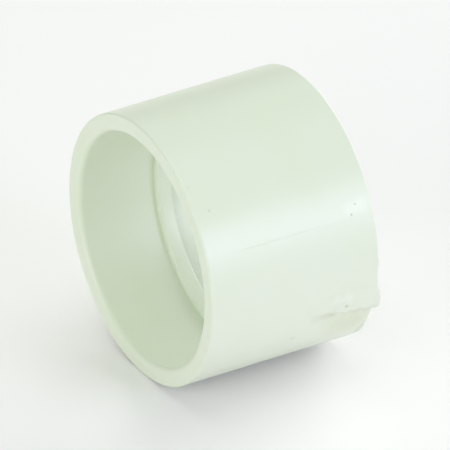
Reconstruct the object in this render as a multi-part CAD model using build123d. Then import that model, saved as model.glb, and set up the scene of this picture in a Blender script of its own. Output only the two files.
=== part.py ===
from build123d import *
import os
from math import cos, radians, sin

# A straight coupling for nominal 1-1/2 inch plastic drain pipe, lying on its side.
# It is one injection moulding. Its regions are separate solids here, meeting face to face:
# a socket at each end, the stop ring between them, and the marks that the mould left.
#
# The axis is X. The near mouth is at x = 0 and opens towards -X, and the far mouth opens
# towards +X. +Z is up. Angles round the axis are measured from -Y, positive upwards.
# All sizes are in millimetres.

# Driving dimensions
PIPE_DIAMETER = 48.26      # the pipe cemented into each socket
PIPE_GAP = 0.15            # radial room for the pipe and its cement
WALL = 3.85                # socket wall thickness
LENGTH = 38.2              # end face to end face
SOCKET_DEPTH = 17.45       # near end face to the stop ring
STOP_WIDTH = 3.05          # stop ring, along the axis
STOP_HEIGHT = 1.4          # stop ring, proud of the socket wall
RIM_ROUND = 0.4            # outer corner of each end
LEAD_ROUND = 1.1           # rounded lead-in at each mouth
STOP_ROUND = 0.35          # inner corners of the stop ring

SEAM_ANGLE = 23.0          # parting plane of the mould halves
SEAM_WIDTH = 0.9
SEAM_HEIGHT = 0.07

GATE_START = 21.2          # where the gate's ramp starts along the axis
GATE_TOP_ANGLE = -8.0      # where it leaves the wall
GATE_START_ANGLE = -17.0   # its steep lower side, where it starts
GATE_END_ANGLE = -23.3     # its steep lower side, at the far end face
GATE_HEIGHT = 1.0          # its height at the far end face
STUB_REACH = 1.0           # what is left of the gate, past the far end face
STUB_FULL_ANGLE = -17.0    # it reaches that far from here to its lower side
STUB_TOP_REACH = 0.1       # its reach at the ramp's top edge

MARK_ANGLE = -16.7         # round gate mark on the ramp
MARK_PLACE = 30.2          # its distance from the near end face
MARK_DIAMETER = 4.4
MARK_HEIGHT = 0.45         # its flat top, proud of the wall
MARK_PIT_PLACE = 31.5      # the pit in it, off its centre towards the far end
MARK_PIT_DIAMETER = 0.6
MARK_PIT_DEPTH = 0.25

FLASH_FROM_ANGLE = -3.7    # flake of flash on the far end face
FLASH_TO_ANGLE = 5.5
FLASH_HEIGHT = 0.5
FLASH_WIDTH = 0.7

BURR_FROM_ANGLE = -51.0    # burr round the far end's outer corner
BURR_TO_ANGLE = -30.5
BURR_HEIGHT = 0.4
BURR_WIDTH = 0.8

# Sizes that follow
SOCKET_RADIUS = PIPE_DIAMETER / 2 + PIPE_GAP
OUTER_RADIUS = SOCKET_RADIUS + WALL
STOP_RADIUS = SOCKET_RADIUS - STOP_HEIGHT
STOP_END = SOCKET_DEPTH + STOP_WIDTH


def turned(face):
    """A ring turned round the axis from its upper section."""
    return revolve(face, Axis.X, 360)


def socket(end, bottom, inward):
    """A socket from the end face at x = end to its bottom. Inward is +1 or -1 along X."""
    lead_end = end + inward * LEAD_ROUND
    bend = 1 - cos(radians(45))
    rim = ThreePointArc(
        (end, OUTER_RADIUS - RIM_ROUND),
        (end + inward * RIM_ROUND * bend, OUTER_RADIUS - RIM_ROUND * bend),
        (end + inward * RIM_ROUND, OUTER_RADIUS),
    )
    lead_in = ThreePointArc(
        (lead_end, SOCKET_RADIUS),
        (end + inward * LEAD_ROUND * bend, SOCKET_RADIUS + LEAD_ROUND * bend),
        (end, SOCKET_RADIUS + LEAD_ROUND),
    )
    section = [
        rim,
        Line(rim @ 1, (bottom, OUTER_RADIUS)),
        Line((bottom, OUTER_RADIUS), (bottom, SOCKET_RADIUS)),
        Line((bottom, SOCKET_RADIUS), lead_in @ 0),
        lead_in,
        Line(lead_in @ 1, rim @ 0),
    ]
    return turned(make_face(Wire(section)))


def stop_ring():
    """The band between the sockets, whose inner lip stops both pipes."""
    section = Pos((SOCKET_DEPTH + STOP_END) / 2, (STOP_RADIUS + OUTER_RADIUS) / 2)
    section *= Rectangle(STOP_WIDTH, OUTER_RADIUS - STOP_RADIUS)
    lip = section.vertices().group_by(Axis.Y)[0]
    return turned(fillet(lip, STOP_ROUND))


def outward(x, angle):
    """A plane on the axis at x whose local Z points out of the wall at this angle and
    whose local X is the part's X."""
    out = (0, -cos(radians(angle)), sin(radians(angle)))
    return Plane(origin=(x, 0, 0), x_dir=(1, 0, 0), z_dir=out)


def wall_core():
    """The solid cylinder inside the outer wall, to trim what sits on the wall."""
    return Pos(LENGTH / 2, 0, 0) * Rot(0, 90, 0) * Cylinder(OUTER_RADIUS, 2 * LENGTH)


def across(radius, angle):
    """The point of a cross-section at this radius and angle, in the YZ plane."""
    return (-radius * cos(radians(angle)), radius * sin(radians(angle)))


def parting_seam(angle):
    """The low ridge where the mould halves met, along the wall at this angle."""
    half = SEAM_WIDTH / 2
    section = Polyline((-half, -RIM_ROUND), (half, -RIM_ROUND), (half, 0),
                       (0, SEAM_HEIGHT), (-half, 0), close=True)
    ridge = Pos(OUTER_RADIUS, 0) * Rot(0, 0, -90) * make_face(section)
    ridge = extrude(Plane.YZ * Rot(0, 0, 180 - angle) * ridge, LENGTH - 2 * RIM_ROUND)
    return Pos(RIM_ROUND, 0, 0) * ridge - wall_core()


def gate_section(x, low_angle, height):
    """The cross-section of the gate's remains at x: it rises to its steep lower side."""
    root = OUTER_RADIUS - 2 * RIM_ROUND
    corners = [
        across(root, GATE_TOP_ANGLE),
        across(OUTER_RADIUS, GATE_TOP_ANGLE),
        across(OUTER_RADIUS + height, low_angle),
        across(root, low_angle),
    ]
    return Plane.YZ.offset(x) * make_face(Polyline(*corners, close=True))


def gate_ramp(far_socket):
    """The gate's remains on the wall: a ramp that widens and rises towards the far end."""
    start = gate_section(GATE_START, GATE_START_ANGLE, GATE_HEIGHT / 50)
    end = gate_section(LENGTH, GATE_END_ANGLE, GATE_HEIGHT)
    return loft([start, end], ruled=True) - far_socket


def gate_stub():
    """The stump of the gate, standing on the far end face and on the ramp's end."""
    seat = outward(LENGTH, GATE_END_ANGLE)

    def across_seat(angle):
        return OUTER_RADIUS * sin(radians(angle - GATE_END_ANGLE))

    outline = Polyline(
        (0, 0),
        (STUB_REACH, 0),
        (STUB_REACH, across_seat(STUB_FULL_ANGLE)),
        (STUB_TOP_REACH, across_seat(GATE_TOP_ANGLE)),
        (0, across_seat(GATE_TOP_ANGLE)),
        close=True,
    )
    trim = extrude(seat * make_face(outline), 2 * OUTER_RADIUS)
    return extrude(gate_section(LENGTH, GATE_END_ANGLE, GATE_HEIGHT), STUB_REACH) & trim


def gate_mark(far_socket, ramp):
    """The round mark of the gate, a thin disc with a small pit in it."""
    disc = extrude(outward(MARK_PLACE, MARK_ANGLE).offset(OUTER_RADIUS - RIM_ROUND)
                   * Circle(MARK_DIAMETER / 2), MARK_HEIGHT + RIM_ROUND)
    top = outward(MARK_PIT_PLACE, MARK_ANGLE).offset(OUTER_RADIUS + MARK_HEIGHT)
    pit = extrude(top * Circle(MARK_PIT_DIAMETER / 2), -MARK_PIT_DEPTH)
    return disc - pit - far_socket - ramp


def flash_flake():
    """A flake of flash that stands on the far end face, highest at its middle."""
    outer = OUTER_RADIUS - RIM_ROUND
    ring = Circle(outer) - Circle(outer - FLASH_WIDTH)
    band = extrude(Plane.YZ.offset(LENGTH) * ring, FLASH_HEIGHT)
    half_chord = outer * radians(FLASH_TO_ANGLE - FLASH_FROM_ANGLE) / 2
    bow = (half_chord ** 2 + FLASH_HEIGHT ** 2) / (2 * FLASH_HEIGHT)
    middle = (FLASH_FROM_ANGLE + FLASH_TO_ANGLE) / 2
    seat = outward(LENGTH + FLASH_HEIGHT - bow, middle)
    return band & extrude(seat * Circle(bow), 2 * outer)


def edge_burr(far_socket):
    """A thin burr that stands out from the far end's outer corner, highest at its middle."""
    root = OUTER_RADIUS - 2 * RIM_ROUND
    crest = ThreePointArc(
        across(OUTER_RADIUS, BURR_FROM_ANGLE),
        across(OUTER_RADIUS + BURR_HEIGHT, (BURR_FROM_ANGLE + BURR_TO_ANGLE) / 2),
        across(OUTER_RADIUS, BURR_TO_ANGLE),
    )
    foot = Polyline(crest @ 1, across(root, BURR_TO_ANGLE), across(root, BURR_FROM_ANGLE), crest @ 0)
    section = Plane.YZ.offset(LENGTH - BURR_WIDTH) * make_face([crest, *foot.edges()])
    return extrude(section, BURR_WIDTH) - far_socket


near_socket = socket(0, SOCKET_DEPTH, 1)
far_socket = socket(LENGTH, STOP_END, -1)
ramp = gate_ramp(far_socket)

nodes = {
    "near_socket": near_socket,
    "stop_ring": stop_ring(),
    "far_socket": far_socket,
    "parting_seam_near_side": parting_seam(SEAM_ANGLE),
    "parting_seam_far_side": parting_seam(SEAM_ANGLE + 180),
    "gate_ramp": ramp,
    "gate_stub": gate_stub(),
    "gate_mark": gate_mark(far_socket, ramp),
    "edge_flash": flash_flake(),
    "edge_burr": edge_burr(far_socket),
}

os.makedirs("parts", exist_ok=True)
for name, shape in nodes.items():
    export_step(shape, f"parts/{name}.step")
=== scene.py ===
from math import atan2, cos, degrees, exp, hypot, pi, radians, sin

import bmesh
import bpy
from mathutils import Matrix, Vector


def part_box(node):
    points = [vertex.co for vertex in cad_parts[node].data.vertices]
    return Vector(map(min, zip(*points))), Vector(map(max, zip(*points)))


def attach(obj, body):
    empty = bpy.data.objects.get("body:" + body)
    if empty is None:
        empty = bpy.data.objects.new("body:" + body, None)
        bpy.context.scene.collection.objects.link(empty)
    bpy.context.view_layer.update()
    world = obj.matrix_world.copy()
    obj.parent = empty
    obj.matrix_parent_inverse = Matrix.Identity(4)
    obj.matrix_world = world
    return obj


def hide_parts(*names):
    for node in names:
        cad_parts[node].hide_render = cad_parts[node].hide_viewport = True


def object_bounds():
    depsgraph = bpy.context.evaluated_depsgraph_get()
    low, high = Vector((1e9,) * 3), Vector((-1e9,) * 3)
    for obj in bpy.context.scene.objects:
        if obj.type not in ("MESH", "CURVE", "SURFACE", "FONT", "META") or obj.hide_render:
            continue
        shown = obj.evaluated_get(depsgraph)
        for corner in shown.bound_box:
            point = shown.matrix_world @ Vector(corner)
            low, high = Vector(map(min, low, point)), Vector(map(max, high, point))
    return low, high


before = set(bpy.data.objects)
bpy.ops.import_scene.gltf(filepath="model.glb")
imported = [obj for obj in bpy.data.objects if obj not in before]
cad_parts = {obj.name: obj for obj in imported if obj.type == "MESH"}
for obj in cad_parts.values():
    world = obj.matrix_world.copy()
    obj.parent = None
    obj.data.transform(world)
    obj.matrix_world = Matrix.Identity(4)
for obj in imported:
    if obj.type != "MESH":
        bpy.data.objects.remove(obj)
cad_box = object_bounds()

# A drain-pipe coupling of pale moulded plastic, lying on its side on a pale floor. Its axis is
# X, and its near mouth is at the lower X end. Shapes are worked out in millimetres, angles
# round the axis run from -Y and up, in degrees, and point() turns both into the frame's metres.
MM = 0.001

# ---------------------------------------------------------------- sizes, from the frame


def radii(node):
    """The smallest and largest distance of a CAD node from the axis."""
    away = [hypot(v.co.y, v.co.z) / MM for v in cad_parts[node].data.vertices]
    return min(away), max(away)


def span(node):
    """Where a CAD node starts and ends along the axis."""
    low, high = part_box(node)
    return low.x / MM, high.x / MM


NEAR_END, STOP_START = span("near_socket")
STOP_END, FAR_END = span("far_socket")
SOCKET_R, WALL_R = radii("near_socket")
STOP_R = radii("stop_ring")[0]
GATE_START = span("gate_ramp")[0]
GATE_HEIGHT = radii("gate_ramp")[1] - WALL_R
STUB_REACH = span("gate_stub")[1] - FAR_END
FLASH_HEIGHT = span("edge_flash")[1] - FAR_END
BURR_START = span("edge_burr")[0]
BURR_HEIGHT = radii("edge_burr")[1] - WALL_R


def middle_angle(node):
    """The angle of a CAD node's middle round the axis."""
    low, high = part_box(node)
    middle = (low + high) / 2
    return degrees(atan2(middle.z, -middle.y))


SEAM_ANGLE = middle_angle("parting_seam_near_side")
MARK_ANGLE = middle_angle("gate_mark")
MARK_PLACE = sum(span("gate_mark")) / 2

# ---------------------------------------------------------------- sizes of the finer shapes
RIM_ROUND = 0.4            # outer corner of the near end
FAR_RIM_ROUND = 0.25       # outer corner of the far end
LEAD_ROUND = 1.1           # lead-in at each mouth
STOP_ROUND = 0.35          # inner corners of the stop ring
ROUND_STEPS = 7
ANGLE_STEP = 1.2           # between the mesh's lines round the axis
AXIAL_STEP = 0.8           # between its rings
SEAM_STEP = 0.2            # between its lines close to a parting seam
SEAM_ZONE = 2.4            # degrees each side of a seam that are finer
SHARP_ANGLE = radians(40)

SEAM_RIDGE = 0.05          # how far the wall swells towards a parting seam
SEAM_SWELL = 1.5           # how far from the seam the swelling fades
SEAM_SHIFT = 0.016         # mismatch of the two mould halves
WALL_SINK = 0.035          # keeps the uneven wall within its nominal size
SEAM_LINE_HEIGHT = 0.035   # the thread of flash along the seam
SEAM_LINE_WIDTH = 0.22
SEAM_FAINTEST = 0.12       # share of the seam left at both ends, where it was rubbed smooth
SEAM_SHOWS_FROM = 5        # where along the axis it starts to show
SEAM_SHOWS_OVER = 7        # and over what length
SEAM_FADES_FROM = 20       # where it starts to fade
SEAM_FADES_OVER = 9

# Unevenness of the wall: height, waves round the axis, start in radians, radians per mm of length
WAVES = ((0.012, 5, 0.9, 0.10), (0.009, 11, 2.1, -0.23), (0.006, 17, 0.0, 0.41))


def smooth(t):
    """A ramp from 0 to 1 with soft ends."""
    t = min(max(t, 0.0), 1.0)
    return t * t * (3 - 2 * t)


def point(x, radius, angle):
    """A point in the frame, in metres."""
    a = radians(angle)
    return Vector((x, -radius * cos(a), radius * sin(a))) * MM


def turn_between(angle, other):
    """The signed angle from other to angle, within half a turn."""
    return (angle - other + 180) % 360 - 180


# ---------------------------------------------------------------- the wall's outer surface


def waviness(x, angle):
    """The slow unevenness of a moulded wall, a few hundredths of a millimetre."""
    a = radians(angle)
    return sum(height * sin(count * a + start + turn * x) for height, count, start, turn in WAVES)


def seam_strength(x):
    """How clear a parting seam is along the wall: it was rubbed smooth at both ends."""
    shown = smooth((x - SEAM_SHOWS_FROM) / SEAM_SHOWS_OVER)
    faded = smooth((x - SEAM_FADES_FROM) / SEAM_FADES_OVER)
    return SEAM_FAINTEST + (1 - SEAM_FAINTEST) * shown * (1 - faded)


def seam_shape(x, angle):
    """The wall swells towards each parting seam, and one mould half stands a little proud."""
    toward = radians(turn_between(angle, SEAM_ANGLE))
    upper_half = 0 <= turn_between(angle, SEAM_ANGLE) < 180
    side = 1 if upper_half else -1
    rise = side * SEAM_SHIFT / 2 * cos(toward) * seam_strength(x)
    for seam in (SEAM_ANGLE, SEAM_ANGLE + 180):
        away = abs(radians(turn_between(angle, seam))) * WALL_R
        rise += SEAM_RIDGE * exp(-away / SEAM_SWELL)
    return rise


def wall_rise(x, angle):
    """How far the outer wall stands out from a true cylinder."""
    return waviness(x, angle) + seam_shape(x, angle) - WALL_SINK


# ---------------------------------------------------------------- meshes


def finish_mesh(name, points, faces):
    """A closed smooth-shaded mesh object from points and faces."""
    mesh = bpy.data.meshes.new(name)
    mesh.from_pydata(points, [], faces)
    work = bmesh.new()
    work.from_mesh(mesh)
    bmesh.ops.recalc_face_normals(work, faces=work.faces)
    work.to_mesh(mesh)
    work.free()
    mesh.shade_smooth()
    mesh.set_sharp_from_angle(angle=SHARP_ANGLE)
    piece = bpy.data.objects.new(name, mesh)
    bpy.context.scene.collection.objects.link(piece)
    return piece


def mesh_angles():
    """The angles of the mesh's lines round the axis, closer together near the seams."""
    angles = []
    angle = SEAM_ANGLE
    while angle < SEAM_ANGLE + 360 - SEAM_STEP / 2:
        angles.append(angle)
        near = min(abs(turn_between(angle + SEAM_STEP / 2, SEAM_ANGLE + s)) for s in (0, 180))
        step = SEAM_STEP if near < SEAM_ZONE else ANGLE_STEP
        for seam in (SEAM_ANGLE + 180, SEAM_ANGLE + 360):
            gap = seam - angle
            if step == ANGLE_STEP and SEAM_ZONE < gap < SEAM_ZONE + ANGLE_STEP:
                step = gap - SEAM_ZONE
        angle += step
    return angles


def turned(name, profile):
    """A ring: the closed profile(angle), a list of (x, radius), carried round the axis."""
    angles = mesh_angles()
    points = []
    for angle in angles:
        points += [point(x, r, angle) for x, r in profile(angle)]
    count = len(points) // len(angles)
    faces = []
    for i in range(len(angles)):
        for j in range(count):
            here, there = i * count, (i + 1) % len(angles) * count
            k = (j + 1) % count
            faces.append((here + j, there + j, there + k, here + k))
    return finish_mesh(name, points, faces)


def slab(name, top, bottom):
    """A closed patch between two grids of points with the same rows and columns."""
    rows, columns = len(top), len(top[0])
    points = [p for row in top + bottom for p in row]
    under = rows * columns
    faces = []
    for i in range(rows - 1):
        for j in range(columns - 1):
            a = i * columns + j
            quad = (a, a + 1, a + columns + 1, a + columns)
            faces.append(quad)
            faces.append(tuple(under + k for k in reversed(quad)))
    last = (rows - 1) * columns
    border = list(range(columns))
    border += [i * columns + columns - 1 for i in range(1, rows)]
    border += [last + j for j in range(columns - 2, -1, -1)]
    border += [i * columns for i in range(rows - 2, 0, -1)]
    for a, b in zip(border, border[1:] + border[:1]):
        faces.append((a, b, under + b, under + a))
    return finish_mesh(name, points, faces)


def steps(low, high, step):
    """Evenly spaced values from low to high, at most step apart."""
    count = max(1, round((high - low) / step))
    return [low + (high - low) * i / count for i in range(count + 1)]


def corner(centre_x, centre_r, size, start, end):
    """The points of a rounded corner in the (x, radius) plane."""
    turns = [radians(start + (end - start) * i / ROUND_STEPS) for i in range(ROUND_STEPS + 1)]
    return [(centre_x + size * cos(t), centre_r + size * sin(t)) for t in turns]


# ---------------------------------------------------------------- sockets and stop ring


def socket_profile(end, bottom, rim_round):
    """The profile of a socket from its end face to its bottom, for turned()."""
    inward = 1 if bottom > end else -1

    def profile(angle):
        a = radians(angle)
        rim = rim_round * (1 + 0.12 * sin(3 * a + 1) + 0.06 * sin(7 * a))
        lead = LEAD_ROUND * (1 + 0.10 * sin(2 * a + 2.4) + 0.05 * sin(5 * a))
        loop = []
        for x, r in corner(0, 0, 1, 180, 90):
            px, pr = end + inward * rim * (1 + x), WALL_R - rim * (1 - r)
            loop.append((px, pr + r * wall_rise(px, angle)))
        for x in steps(end + inward * rim_round * 1.5, bottom, AXIAL_STEP * inward):
            loop.append((x, WALL_R + wall_rise(x, angle)))
        for x in steps(bottom, end + inward * LEAD_ROUND * 1.25, -2 * AXIAL_STEP * inward):
            loop.append((x, SOCKET_R + waviness(2 * x, -angle) / 2))
        for x, r in corner(0, 0, 1, 270, 180):
            loop.append((end + inward * lead * (1 + x), SOCKET_R + lead * (1 + r)))
        return loop

    return profile


def stop_profile(angle):
    """The profile of the stop ring, for turned()."""
    loop = [(x, WALL_R + wall_rise(x, angle)) for x in steps(STOP_START, STOP_END, AXIAL_STEP)]
    lip_r = STOP_R + waviness(STOP_START, angle)
    loop += corner(STOP_END - STOP_ROUND, lip_r + STOP_ROUND, STOP_ROUND, 0, -90)
    loop += corner(STOP_START + STOP_ROUND, lip_r + STOP_ROUND, STOP_ROUND, 270, 180)
    return loop


# ---------------------------------------------------------------- what the mould left

GATE_START_CREST = -16.4   # angle of the gate ramp's crest where it starts
GATE_END_CREST = -21.9     # and at the far end
GATE_STEEP = 1.0           # degrees from the crest down to the wall
GATE_TOP = -7.6            # where the ramp leaves the wall
SINK = 0.03                # how deep a patch's edge lies under the wall
PATCH_DEPTH = 0.5          # how far a patch reaches into the wall

RAMP_FIT = 0.97            # share of the CAD ramp's height, which keeps its waves inside it
RAMP_STEP = 0.30           # share of the height reached early on
RAMP_STEP_LENGTH = 0.3     # share of the length that takes
RAMP_CURVE = 1.6           # how late the rest of the height comes
RAMP_WANDER = 0.35         # degrees the crest wanders

MARK_RADIUS = 2.05
RING_HEIGHT = 0.18         # the raised ring near the mark's edge
RING_INSET = 0.25
RING_WIDTH = 0.26
DISH_DEPTH = 0.10          # the shallow dish inside the ring
DISH_SLOPE = 0.9
PIT_SHIFT = 1.05           # the mark's pit, from its centre towards the far end
PIT_DEPTH = 0.40
PIT_RADIUS = 0.32
MARK_FADE = 0.25           # how quickly the patch dives under the ramp outside the mark
MARK_STEP = 0.09           # between the mark's mesh lines

STUB_FIT = 0.91            # share of the CAD stump's reach that its torn edge swings round
STUB_SHARES = ((0.5, 0.02), (0.85, 0.08), (1.0, 0.22))   # share of the reach, drop of the top

FLASH_ANGLES = (-6.5, 6.0)
FLASH_DEPTHS = (0, 0.12, 0.3, 0.5, 0.66)   # inward across the flake
FLASH_TAIL = 0.12                          # share of the flake's height along its thin tail

BURR_ANGLES = (-50.5, -31.0)
BURR_FIT = 0.96            # share of the CAD burr's height
# Across the burr: share of its length, share of its height
BURR_SHAPE = ((0.0, 0.0), (0.35, 0.25), (0.65, 0.75), (0.85, 1.0), (0.95, 0.9), (1.0, 0.55))


def gate_crest(x):
    """The angle of the ramp's crest at x."""
    along = (x - GATE_START) / (FAR_END - GATE_START)
    wander = RAMP_WANDER * sin(0.55 * x)
    return GATE_START_CREST + (GATE_END_CREST - GATE_START_CREST) * along + wander * (1 - along)


def gate_rise(x, angle):
    """The height of the gate's ramp over the wall."""
    along = (x - GATE_START) / (FAR_END - GATE_START)
    early = RAMP_STEP * smooth(along / RAMP_STEP_LENGTH)
    late = (1 - RAMP_STEP) * max(along, 0) ** RAMP_CURVE
    height = GATE_HEIGHT * RAMP_FIT * (early + late)
    crest = gate_crest(x)
    if angle > crest:
        across = smooth((GATE_TOP - angle) / (GATE_TOP - crest)) ** 0.9
    else:
        across = 1 - smooth((crest - angle) / GATE_STEEP)
    return height * across


def mark_rise(x, angle):
    """The height of the round gate mark over the ramp: a low ring, a dish and a pit."""
    up = radians(angle - MARK_ANGLE) * WALL_R
    away = hypot(x - MARK_PLACE, up)
    ring = RING_HEIGHT * exp(-((away - MARK_RADIUS + RING_INSET) / RING_WIDTH) ** 2)
    dish = DISH_DEPTH * (1 - smooth((away - MARK_RADIUS + DISH_SLOPE) / DISH_SLOPE))
    pit = PIT_DEPTH * exp(-(hypot(x - MARK_PLACE - PIT_SHIFT, up) / PIT_RADIUS) ** 2)
    edge = 2 * SINK * smooth((away - MARK_RADIUS) / MARK_FADE)
    return ring - dish - pit - edge


def ramp_surface(x, angle):
    """The ramp's own surface over the wall: its thin edges dive just under the wall."""
    rise = gate_rise(x, angle)
    return rise - SINK * (1 - smooth(rise / (3 * SINK)))


def wall_patch(name, xs, angles, rise):
    """A patch on the outer wall, over these places, as high over it as rise(x, angle)."""
    top = [[point(x, WALL_R + wall_rise(x, a) + rise(x, a), a) for a in angles] for x in xs]
    bottom = [[point(x, WALL_R - PATCH_DEPTH, a) for a in angles] for x in xs]
    return slab(name, top, bottom)


def gate_ramp():
    """The gate's remains on the wall, out to the far end."""
    xs = steps(GATE_START - 1, FAR_END - 0.25, 0.4) + [FAR_END - 0.12, FAR_END - 0.03, FAR_END]
    angles = steps(GATE_END_CREST - GATE_STEEP - 1.2, GATE_TOP + 2, 0.25)
    return wall_patch("gate_ramp_fine", xs, angles, ramp_surface)


def gate_stub():
    """The stump of the gate past the far end face, broken off unevenly."""
    low, high = GATE_END_CREST - GATE_STEEP + 0.15, GATE_TOP - 0.4
    angles = steps(low, high, 0.25)
    inner = WALL_R - 2 * RIM_ROUND

    def reach(angle):
        from_top = (high - angle) / (high - low)
        torn = 0.05 * sin(2.1 * angle) + 0.03 * sin(5.3 * angle + 1)
        full = smooth(from_top / 0.62) ** 1.2 * (1 - 0.16 * smooth((from_top - 0.86) / 0.14))
        return STUB_REACH * max(0.06, STUB_FIT * full + torn * full)

    def outer(angle):
        return WALL_R + wall_rise(FAR_END, angle) + gate_rise(FAR_END, angle) - 0.02

    root = (FAR_END - RIM_ROUND, FAR_END)
    top = [[point(x, outer(a), a) for a in angles] for x in root]
    bottom = [[point(x, inner, a) for a in angles] for x in root]
    for share, drop in STUB_SHARES:
        top.append([point(FAR_END + reach(a) * share, outer(a) - drop, a) for a in angles])
        bottom.append([point(FAR_END + reach(a) * share, inner + 0.1 * share, a) for a in angles])
    return slab("gate_stub_fine", top, bottom)


def gate_mark():
    """The round mark of the gate."""
    reach = MARK_RADIUS + 0.4
    turn = degrees(reach / WALL_R)
    xs = steps(MARK_PLACE - reach, MARK_PLACE + reach, MARK_STEP)
    angles = steps(MARK_ANGLE - turn, MARK_ANGLE + turn, degrees(MARK_STEP / WALL_R))
    return wall_patch("gate_mark_fine", xs, angles,
                      lambda x, a: ramp_surface(x, a) + mark_rise(x, a))


def parting_seam(name, seam):
    """The uneven thread of flash along a parting seam."""
    turn = degrees(SEAM_LINE_WIDTH / WALL_R)
    xs = steps(NEAR_END + RIM_ROUND, FAR_END - RIM_ROUND, 0.5)
    angles = steps(seam - 2 * turn, seam + 2 * turn, turn / 3)

    def rise(x, angle):
        uneven = 0.7 + 0.25 * sin(0.9 * x + 1) + 0.2 * sin(2.3 * x)
        across = exp(-(turn_between(angle, seam) / turn * 1.6) ** 2)
        return (SEAM_LINE_HEIGHT * uneven * seam_strength(x) + SINK) * across - SINK

    return wall_patch(name, xs, angles, rise)


def edge_flash():
    """The flake of flash that stands on the far end face."""
    low, high = FLASH_ANGLES
    outer = WALL_R - RIM_ROUND * 0.8
    angles = steps(low, high, 0.25)

    def height(angle):
        flake = smooth((high - angle) / 6.0) * smooth((angle + 4.2) / 3.2)
        tail = FLASH_TAIL * smooth((angle - low) / 2) * smooth((high - angle) / 8)
        return FLASH_HEIGHT * max(flake, tail)

    def crown(depth):
        return sin(pi * (0.12 + 0.76 * depth / FLASH_DEPTHS[-1]))

    top = [[point(FAR_END - 0.04 + height(a) * crown(d), outer - d, a) for a in angles]
           for d in FLASH_DEPTHS]
    bottom = [[point(FAR_END - PATCH_DEPTH, outer - d, a) for a in angles] for d in FLASH_DEPTHS]
    return slab("edge_flash_fine", top, bottom)


def edge_burr():
    """The thin burr round the far end's outer corner."""
    low, high = BURR_ANGLES
    angles = steps(low, high, 0.3)

    def height(angle):
        swell = smooth((angle - low) / 8.5) * smooth((high - angle) / 9.5)
        return BURR_HEIGHT * BURR_FIT * swell * (1 + 0.04 * sin(3.1 * angle))

    def outer(x, share, angle):
        return WALL_R - SINK + wall_rise(x, angle) + (height(angle) + SINK) * share

    length = FAR_END - BURR_START
    rows = [(BURR_START + length * along, share) for along, share in BURR_SHAPE]
    top = [[point(x, outer(x, share, a), a) for a in angles] for x, share in rows]
    bottom = [[point(x, WALL_R - PATCH_DEPTH, a) for a in angles] for x, share in rows]
    return slab("edge_burr_fine", top, bottom)


# ---------------------------------------------------------------- materials


def link(tree, output, target):
    tree.links.new(output, target)


def noise(tree, coordinates, size, detail=2.0, stretch=None):
    """Noise whose blobs are about this many millimetres across."""
    if stretch:
        mapping = tree.nodes.new("ShaderNodeMapping")
        mapping.inputs["Scale"].default_value = stretch
        link(tree, coordinates, mapping.inputs["Vector"])
        coordinates = mapping.outputs["Vector"]
    node = tree.nodes.new("ShaderNodeTexNoise")
    node.inputs["Scale"].default_value = 1 / (size * MM)
    node.inputs["Detail"].default_value = detail
    link(tree, coordinates, node.inputs["Vector"])
    return node.outputs["Fac"]


def spots(tree, coordinates, size):
    """The distance to scattered points about this many millimetres apart, in those units."""
    node = tree.nodes.new("ShaderNodeTexVoronoi")
    node.inputs["Scale"].default_value = 1 / (size * MM)
    link(tree, coordinates, node.inputs["Vector"])
    return node.outputs["Distance"]


def to_range(tree, value, low, high, from_low=0.3, from_high=0.7):
    node = tree.nodes.new("ShaderNodeMapRange")
    node.inputs["From Min"].default_value = from_low
    node.inputs["From Max"].default_value = from_high
    node.inputs["To Min"].default_value = low
    node.inputs["To Max"].default_value = high
    link(tree, value, node.inputs["Value"])
    return node.outputs["Result"]


def mixed(tree, factor, first, second):
    """A colour between two, each a colour or a socket."""
    node = tree.nodes.new("ShaderNodeMix")
    node.data_type = "RGBA"
    link(tree, factor, node.inputs["Factor"])
    for socket, colour in ((node.inputs["A"], first), (node.inputs["B"], second)):
        if isinstance(colour, tuple):
            socket.default_value = (*colour, 1)
        else:
            link(tree, colour, socket)
    return node.outputs["Result"]


CLOUD_SIZE = 14            # millimetres across the tint's clouds
SPECK_SPACING = 9          # millimetres between specks
DRAG_SIZE = 0.8            # millimetres across a drag line
DRAG_STRETCH = (0.04, 1, 1)
DRAG_DEPTH = 0.02
# Dark dots at the seam's end, and painted shade in the gate mark's pit
DARK_DOT_AND_PIT_SHADE = (0.16, 0.18, 0.13)
# Brown specks, and brownish painted shade along the gate ramp's steep lower edge
BROWN_SPECK_AND_RAMP_EDGE_SHADE = (0.42, 0.40, 0.26)
# Olive-tinted painted shade on the wall below the gate ramp
RAMP_UNDERSIDE_SHADE = (0.60, 0.63, 0.44)
# Painted highlight: a paler colour where the wall catches light
PAINTED_HIGHLIGHT = (0.95, 0.96, 0.95)

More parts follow.
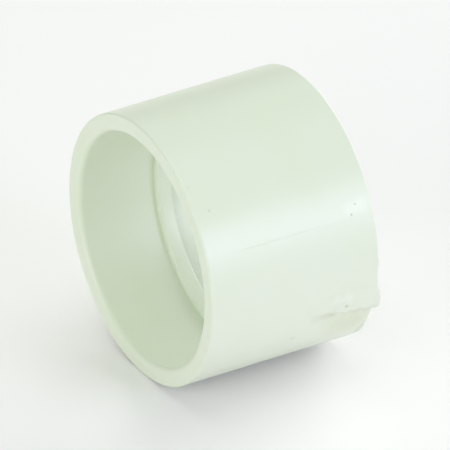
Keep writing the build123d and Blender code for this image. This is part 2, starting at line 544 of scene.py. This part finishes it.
# Stains, dots, painted shade and painted highlights round the gate and the seam's end: x, angle,
# reach in mm, strength, colour
STAINS_SHADE_AND_HIGHLIGHTS = (
    # painted shade in the gate mark's pit
    (MARK_PLACE + PIT_SHIFT, MARK_ANGLE, 0.45, 0.40, DARK_DOT_AND_PIT_SHADE),
    # brownish painted shade along the gate ramp's steep lower edge
    (25.0, -20.6, 2.0, 0.12, BROWN_SPECK_AND_RAMP_EDGE_SHADE),
    (27.2, -19.9, 1.9, 0.22, BROWN_SPECK_AND_RAMP_EDGE_SHADE),
    (28.8, -20.5, 1.4, 0.30, BROWN_SPECK_AND_RAMP_EDGE_SHADE),
    (31.8, -21.2, 1.6, 0.20, BROWN_SPECK_AND_RAMP_EDGE_SHADE),
    (34.3, -21.8, 1.9, 0.28, BROWN_SPECK_AND_RAMP_EDGE_SHADE),
    (37.1, -22.4, 1.9, 0.28, BROWN_SPECK_AND_RAMP_EDGE_SHADE),
    # olive-tinted painted shade below the gate ramp
    (29.0, -25.8, 3.6, 0.22, RAMP_UNDERSIDE_SHADE),
    (32.5, -27.0, 3.7, 0.32, RAMP_UNDERSIDE_SHADE),
    (35.8, -28.0, 3.7, 0.32, RAMP_UNDERSIDE_SHADE),
    (31.0, -33.0, 3.7, 0.28, RAMP_UNDERSIDE_SHADE),
    (34.8, -34.0, 3.7, 0.34, RAMP_UNDERSIDE_SHADE),
    (20.5, -29.7, 0.7, 0.25, BROWN_SPECK_AND_RAMP_EDGE_SHADE),
    # two dark dots at the seam's end
    (33.3, 23.9, 0.40, 0.40, DARK_DOT_AND_PIT_SHADE),
    (34.6, 27.7, 0.35, 0.35, DARK_DOT_AND_PIT_SHADE),
    # painted highlight on the bump at the seam's end
    (33.2, 26.2, 2.0, 0.16, PAINTED_HIGHLIGHT),
    (35.8, 27.0, 2.2, 0.18, PAINTED_HIGHLIGHT),
    # painted highlight above the gate mark
    (29.2, -12.4, 1.6, 0.14, PAINTED_HIGHLIGHT),
    (31.6, -12.8, 1.6, 0.16, PAINTED_HIGHLIGHT),
    (3.6, 42.1, 0.45, 0.25, BROWN_SPECK_AND_RAMP_EDGE_SHADE),
)


def add_stain_or_painted_light(tree, place, colour, x, angle, reach, strength, stain_or_painted_light):
    """The colour, with a soft round stain, painted shade or painted highlight at this place on
    the outer wall.
    """
    away = tree.nodes.new("ShaderNodeVectorMath")
    away.operation = "DISTANCE"
    away.inputs[1].default_value = point(x, WALL_R + gate_rise(x, angle), angle)
    link(tree, place, away.inputs[0])
    amount = to_range(tree, away.outputs["Value"], strength, 0.0, 0.3 * reach * MM, reach * MM)
    return mixed(tree, amount, colour, stain_or_painted_light)


def moulded_plastic(name, tint, shade, roughness):
    """Pale glossy moulded plastic: cloudy tint, a few specks and stains, painted shade round the
    gate, painted highlights, and drag lines.
    """
    material = bpy.data.materials.new(name)
    material.use_nodes = True
    tree = material.node_tree
    shader = tree.nodes["Principled BSDF"]
    place = tree.nodes.new("ShaderNodeTexCoord").outputs["Object"]
    clouds = to_range(tree, noise(tree, place, CLOUD_SIZE), 0.0, 1.0)
    colour = mixed(tree, clouds, tint, shade)
    specks = to_range(tree, spots(tree, place, SPECK_SPACING), 0.5, 0.0, 0.01, 0.035)
    speck_colour = (shade[0] * 0.8, shade[1] * 0.72, shade[2] * 0.55)
    colour = mixed(tree, specks, colour, speck_colour)
    # stains and dots, painted shade round the gate ramp and its pit, and painted highlights
    for stain_or_painted_light in STAINS_SHADE_AND_HIGHLIGHTS:
        colour = add_stain_or_painted_light(tree, place, colour, *stain_or_painted_light)
    link(tree, colour, shader.inputs["Base Color"])
    shader.inputs["Roughness"].default_value = roughness
    drag = noise(tree, place, DRAG_SIZE, stretch=DRAG_STRETCH)
    drag_bump = tree.nodes.new("ShaderNodeBump")
    drag_bump.inputs["Strength"].default_value = 0.25
    drag_bump.inputs["Distance"].default_value = DRAG_DEPTH * MM
    link(tree, drag, drag_bump.inputs["Height"])
    link(tree, drag_bump.outputs["Normal"], shader.inputs["Normal"])
    shader.inputs["IOR"].default_value = 1.53
    return material


TINT = (0.732, 0.783, 0.668)
WALL_PLASTIC = moulded_plastic("pvc_wall", TINT, (0.712, 0.777, 0.635), 0.31)
MARK_PLASTIC = moulded_plastic("pvc_marks", TINT, (0.703, 0.768, 0.625), 0.33)

# ---------------------------------------------------------------- the pieces

SEAMS = {"parting_seam_near_side": SEAM_ANGLE, "parting_seam_far_side": SEAM_ANGLE + 180}

pieces = {
    "near_socket": turned("near_socket_fine", socket_profile(NEAR_END, STOP_START, RIM_ROUND)),
    "stop_ring": turned("stop_ring_fine", stop_profile),
    "far_socket": turned("far_socket_fine", socket_profile(FAR_END, STOP_END, FAR_RIM_ROUND)),
    "gate_ramp": gate_ramp(),
    "gate_stub": gate_stub(),
    "gate_mark": gate_mark(),
    "edge_flash": edge_flash(),
    "edge_burr": edge_burr(),
}
for node, seam in SEAMS.items():
    pieces[node] = parting_seam(f"{node}_fine", seam)

WALL_NODES = ("near_socket", "stop_ring", "far_socket")
for node, piece in pieces.items():
    of_wall = node in WALL_NODES
    piece.data.materials.append(WALL_PLASTIC if of_wall else MARK_PLASTIC)
    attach(piece, "root")
    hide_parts(node)

# ---------------------------------------------------------------- floor, light and camera

FLOOR_SIZE = 6.0
bpy.ops.mesh.primitive_plane_add(size=FLOOR_SIZE, location=(0, 0, cad_box[0].z))
floor = bpy.context.object
floor.name = "floor"
floor_paper = bpy.data.materials.new("floor_paper")
floor_paper.use_nodes = True
floor_shader = floor_paper.node_tree.nodes["Principled BSDF"]
floor_shader.inputs["Base Color"].default_value = (0.945, 0.928, 0.94, 1)
floor_shader.inputs["Roughness"].default_value = 0.9
floor_shader.inputs["Specular IOR Level"].default_value = 0.1
floor.data.materials.append(floor_paper)

CAMERA_AZIMUTH = radians(-30.52)
CAMERA_ELEVATION = radians(30.94)
CAMERA_DISTANCE = 3.9645
AIM = Vector((0.0195, 0, -0.00007))

back = Vector((sin(CAMERA_AZIMUTH) * cos(CAMERA_ELEVATION),
               -cos(CAMERA_AZIMUTH) * cos(CAMERA_ELEVATION),
               sin(CAMERA_ELEVATION)))
right = Vector((cos(CAMERA_AZIMUTH), sin(CAMERA_AZIMUTH), 0))
up = back.cross(right)

camera_data = bpy.data.cameras.new("camera")
camera_data.lens = 1600
camera_data.sensor_width = 36
camera = bpy.data.objects.new("camera", camera_data)
camera.location = AIM + back * CAMERA_DISTANCE
camera.rotation_euler = back.to_track_quat("Z", "Y").to_euler()
bpy.context.scene.collection.objects.link(camera)
bpy.context.scene.camera = camera


def soft_light(name, toward, distance, size, power, colour):
    """A square light aimed at the fitting from this direction."""
    data = bpy.data.lights.new(name, "AREA")
    data.size = size
    data.energy = power
    data.color = colour
    light = bpy.data.objects.new(name, data)
    toward = toward.normalized()
    light.location = AIM + toward * distance
    light.rotation_euler = toward.to_track_quat("Z", "Y").to_euler()
    bpy.context.scene.collection.objects.link(light)


KEY_SIDE = right * 0.818 - up * 0.0105 + back * 0.575

# name, direction, distance and size in metres, watts, colour
LIGHTS = (
    ("key_softbox", KEY_SIDE, 1.2, 0.55, 3.15, (0.64, 0.64, 1.0)),
    ("fill_left", Vector((-1.0, -0.35, 0.25)), 1.5, 1.2, 10.6, (0.96, 1, 0.94)),
    ("far_side", Vector((1.0, 0.4, 0.15)), 2.2, 2.6, 64.0, (1, 1, 1)),
    ("top", Vector((0.0, 0.0, 1.0)), 1.5, 1.2, 4.9, (0.85, 1.0, 0.78)),
    ("front_low", Vector((0.0, -1.0, 0.15)), 1.5, 1.2, 1.4, (1, 1, 1)),
    ("right_front", Vector((0.8, -0.8, 0.25)), 1.5, 1.2, 4.4, (1, 1, 1)),
)
for light in LIGHTS:
    soft_light(*light)

WORLD_STRENGTH = 0.45
world = bpy.data.worlds.new("studio")
world.use_nodes = True
world.node_tree.nodes["Background"].inputs["Color"].default_value = (1, 1, 1, 1)
world.node_tree.nodes["Background"].inputs["Strength"].default_value = WORLD_STRENGTH
bpy.context.scene.world = world
bpy.context.scene.view_settings.view_transform = "Standard"
